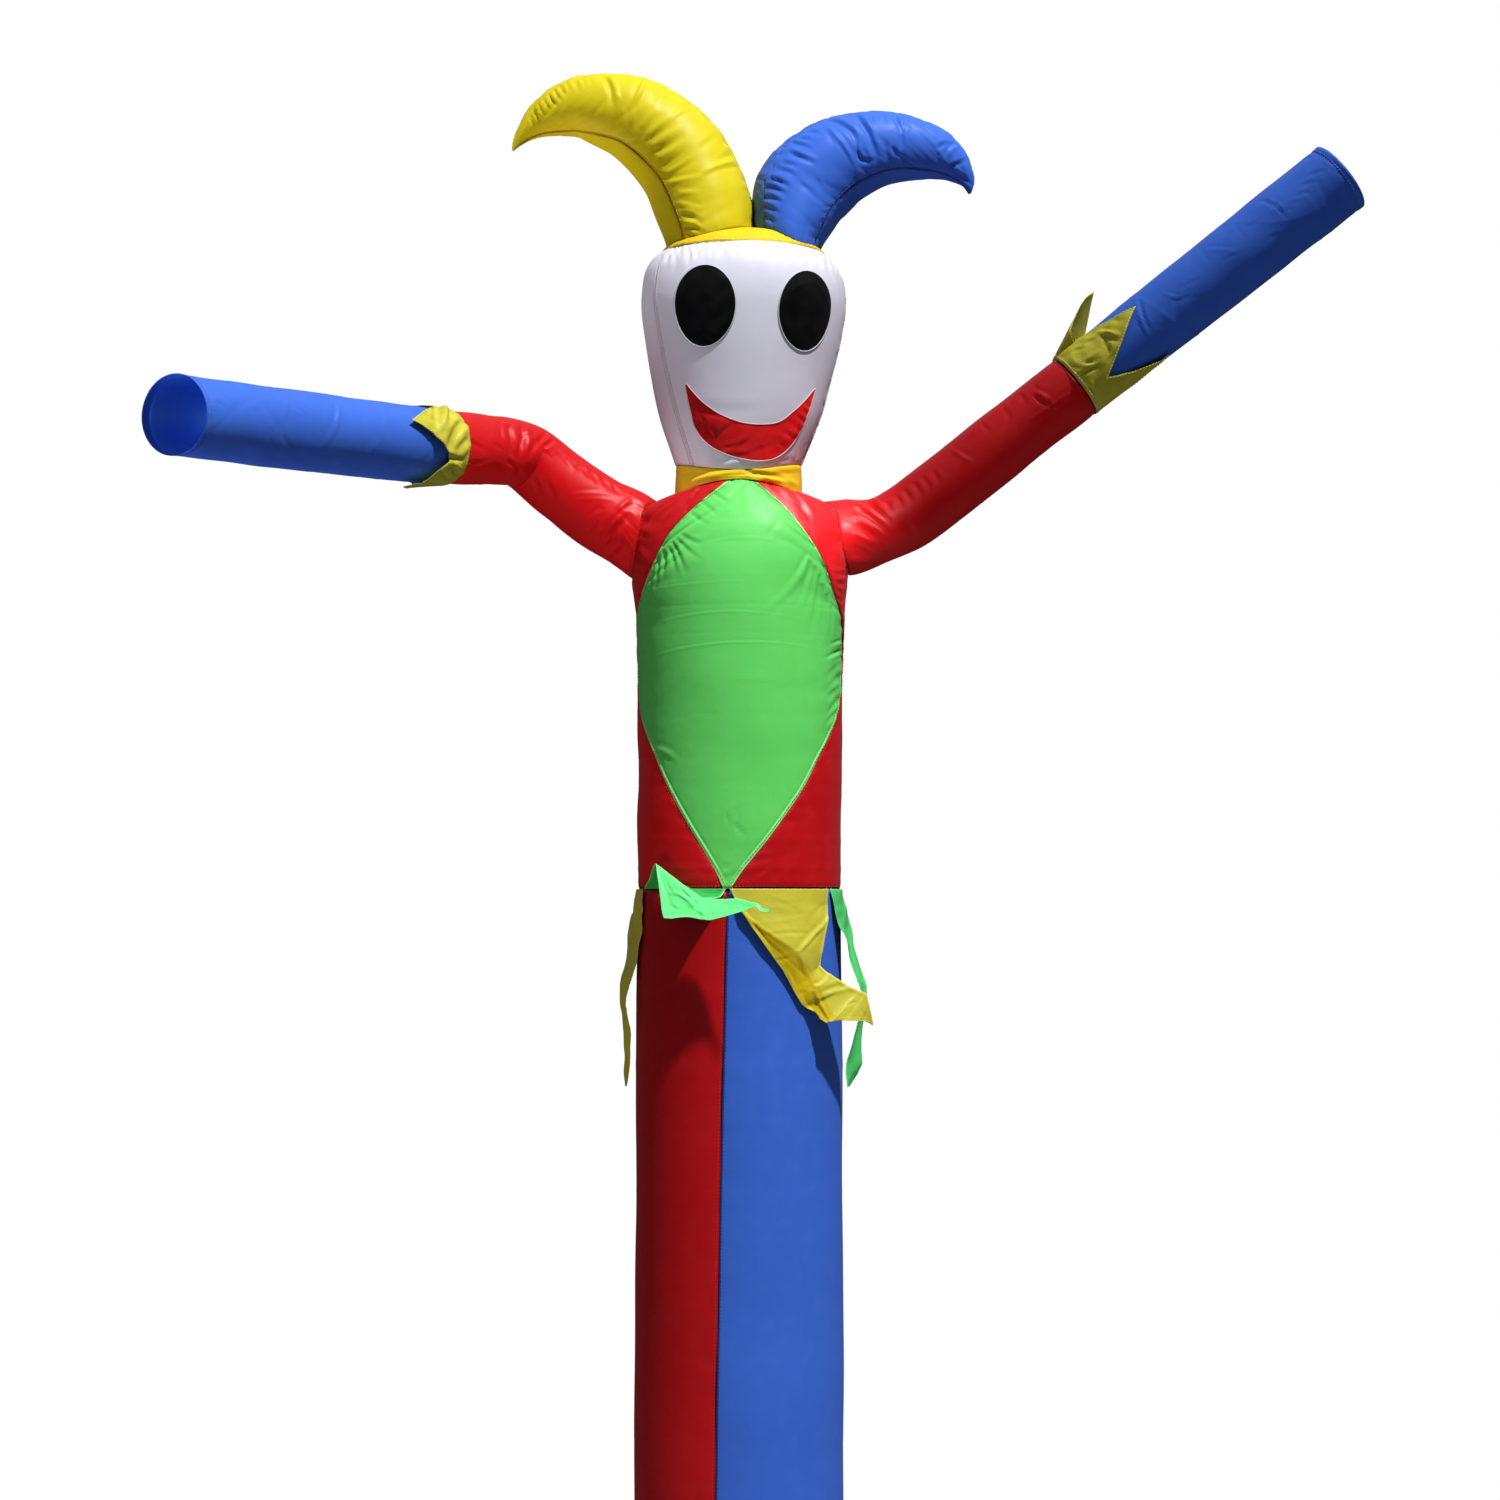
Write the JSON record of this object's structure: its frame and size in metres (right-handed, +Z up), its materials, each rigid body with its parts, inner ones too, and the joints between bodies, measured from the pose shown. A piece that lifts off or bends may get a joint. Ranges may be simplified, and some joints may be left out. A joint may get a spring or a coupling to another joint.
{
  "type": "inflatable air dancer",
  "caption": "Inflatable air dancer: a jester sewn from coloured nylon, one open leg tube, bent open arms with zigzag cuffs, waist pennants and a smiling head with curved horns.",
  "frame": {"origin": "on the floor, under the middle of the whole figure's bounding box", "axes": "+Z up along the leg tube, the face towards -Y, +X to the right as one looks at the face"},
  "size_m": [1.6807, 0.7421, 3.0007],
  "materials": {
    "red": "satin",
    "blue": "satin",
    "green": "satin",
    "yellow": "satin",
    "white": "satin",
    "black": "satin"
  },
  "bodies": {
    "root": {"leg_red": "red", "leg_blue": "blue", "bib_green": "green", "torso_red_left": "red", "torso_red_right": "red", "collar_yellow": "yellow", "face_white": "white", "head_back_white": "white", "cap_yellow": "yellow", "eye_left": "black", "eye_right": "black", "mouth_red": "red", "horn_yellow_front": "yellow", "horn_yellow_back": "yellow", "horn_yellow_inner": "yellow", "horn_blue_front": "blue", "horn_blue_back": "blue", "horn_blue_inner": "blue", "sleeve_red_left": "red", "sleeve_red_right": "red", "forearm_blue_left": "blue", "forearm_blue_right": "blue", "cuff_yellow_left": "yellow", "cuff_yellow_right": "yellow", "pennant_green_front": "green", "pennant_yellow_front": "yellow", "pennant_green_side": "green", "pennant_yellow_back": "yellow", "pennant_green_back": "green", "pennant_yellow_side": "yellow"}
  },
  "joints": []
}
